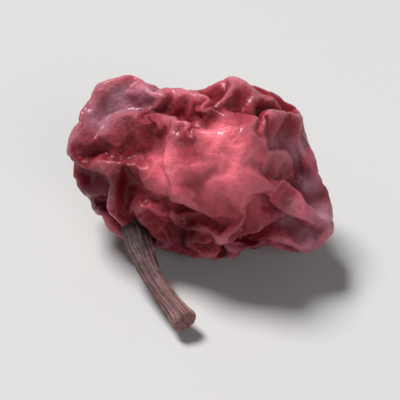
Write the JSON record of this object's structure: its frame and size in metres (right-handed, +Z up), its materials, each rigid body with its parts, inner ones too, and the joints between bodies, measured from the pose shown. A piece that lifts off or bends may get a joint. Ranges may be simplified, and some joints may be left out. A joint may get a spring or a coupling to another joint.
{
  "type": "dried schisandra berry",
  "caption": "Dried schisandra berry on a short piece of stalk: dark red skin, wrinkled and folded over its seeds, steeped for tea or used as a spice.",
  "frame": {"origin": "on the surface it lies on, under the middle of the berry and stalk together", "axes": "+Z up as it lies, +X along the berry's breadth towards its loose fold of skin, -Y towards the side that the picture shows"},
  "size_m": [0.008, 0.0078, 0.0058],
  "materials": {
    "skin": "Wrinkled dried fruit skin, pinkish dark red, half gloss with a slight oily sheen, paler and greyer with dry bloom on its ridges, maroon in its folds",
    "stalk": "Dry matt stalk bark, dark brown by the berry and tan towards its cut end, ridged lengthwise"
  },
  "bodies": {
    "root": {"berry": "skin", "stalk": "stalk"}
  },
  "joints": []
}
